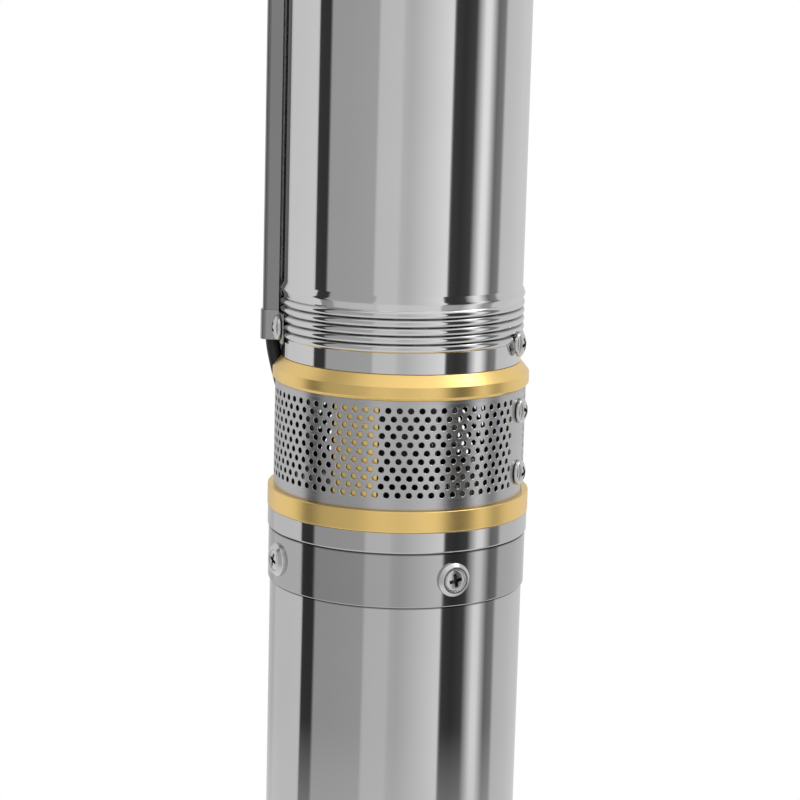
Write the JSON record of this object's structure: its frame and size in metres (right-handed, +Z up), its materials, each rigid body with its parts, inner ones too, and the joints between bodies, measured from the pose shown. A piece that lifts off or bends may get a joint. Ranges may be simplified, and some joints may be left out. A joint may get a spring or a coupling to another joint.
{
  "type": "borehole submersible pump",
  "caption": "Slim upright borehole pump: polished steel pump tube and motor shell joined by a brass intake bracket with a perforated strainer and a side cable guard.",
  "frame": {"origin": "middle of the flat foot under the motor", "axes": "+Z up along the shaft to the outlet, -Y towards the viewer of the picture, cable guard on -X"},
  "size_m": [0.1029, 0.0992, 0.6764],
  "materials": {
    "polished_steel": "polished stainless tube",
    "cast_steel": "satin cast stainless",
    "strainer_steel": "satin perforated sheet",
    "brass": "machined satin brass",
    "screw_steel": "bright stainless fasteners",
    "shaft_steel": "ground steel",
    "rubber": "black moulded rubber",
    "lead_jacket": "black cable jacket",
    "copper": "enamelled copper",
    "lamination": "laminated core",
    "cage_aluminium": "cast aluminium",
    "carbon": "carbon bearing material",
    "stage_plastic": "moulded stage plastic"
  },
  "bodies": {
    "housing": {"motor_shell": "polished_steel", "pump_tube": "polished_steel", "motor_collar": "polished_steel", "upper_end_bell": "polished_steel", "cable_guard": "polished_steel", "lower_strap": "polished_steel", "upper_strap": "polished_steel", "motor_base": "cast_steel", "lower_end_bell": "cast_steel", "thrust_plate": "cast_steel", "strainer": "strainer_steel", "intake_bracket": "brass", "discharge_head": "brass", "bearing_spider": "brass", "valve_seat": "brass", "base_screws": "screw_steel", "cup_washers": "screw_steel", "collar_screws": "screw_steel", "bracket_studs": "screw_steel", "bracket_nuts": "screw_steel", "strainer_screws": "screw_steel", "tube_lock_screws": "screw_steel", "strap_screws": "screw_steel", "valve_spring": "screw_steel", "diaphragm": "rubber", "lead_gland": "rubber", "spider_bush": "rubber", "intake_bush": "rubber", "motor_lead": "lead_jacket", "stator_windings": "copper", "lead_cores": "copper", "stator_core": "lamination", "lower_bush": "carbon", "upper_bush": "carbon", "thrust_pads": "carbon", "seal_seat": "carbon", "stage_bowls": "stage_plastic", "diffuser_1": "stage_plastic", "diffuser_2": "stage_plastic", "diffuser_3": "stage_plastic", "diffuser_4": "stage_plastic", "diffuser_5": "stage_plastic"},
    "rotor": {"motor_shaft": "shaft_steel", "rotor_core": "lamination", "rotor_cage": "cage_aluminium", "thrust_disc": "carbon", "seal_head": "carbon", "sand_slinger": "rubber", "shaft_coupling": "shaft_steel", "coupling_screws": "screw_steel", "pump_shaft": "shaft_steel", "shaft_nut": "shaft_steel", "impeller_1": "stage_plastic", "impeller_2": "stage_plastic", "impeller_3": "stage_plastic", "impeller_4": "stage_plastic", "impeller_5": "stage_plastic"},
    "valve": {"valve_poppet": "stage_plastic", "valve_seal": "rubber"}
  },
  "joints": [
    {"name": "rotor_spin", "type": "hinge", "parent": "housing", "child": "rotor", "pos_m": [0, 0, 0], "axis": [0, 0, 1], "continuous": true},
    {"name": "valve_lift", "type": "slide", "parent": "housing", "child": "valve", "axis": [0, 0, 1], "range_m": [0, 0.009], "stiffness_N_per_m": 300, "springref_m": -0.004, "deforming": ["valve_spring"]}
  ]
}
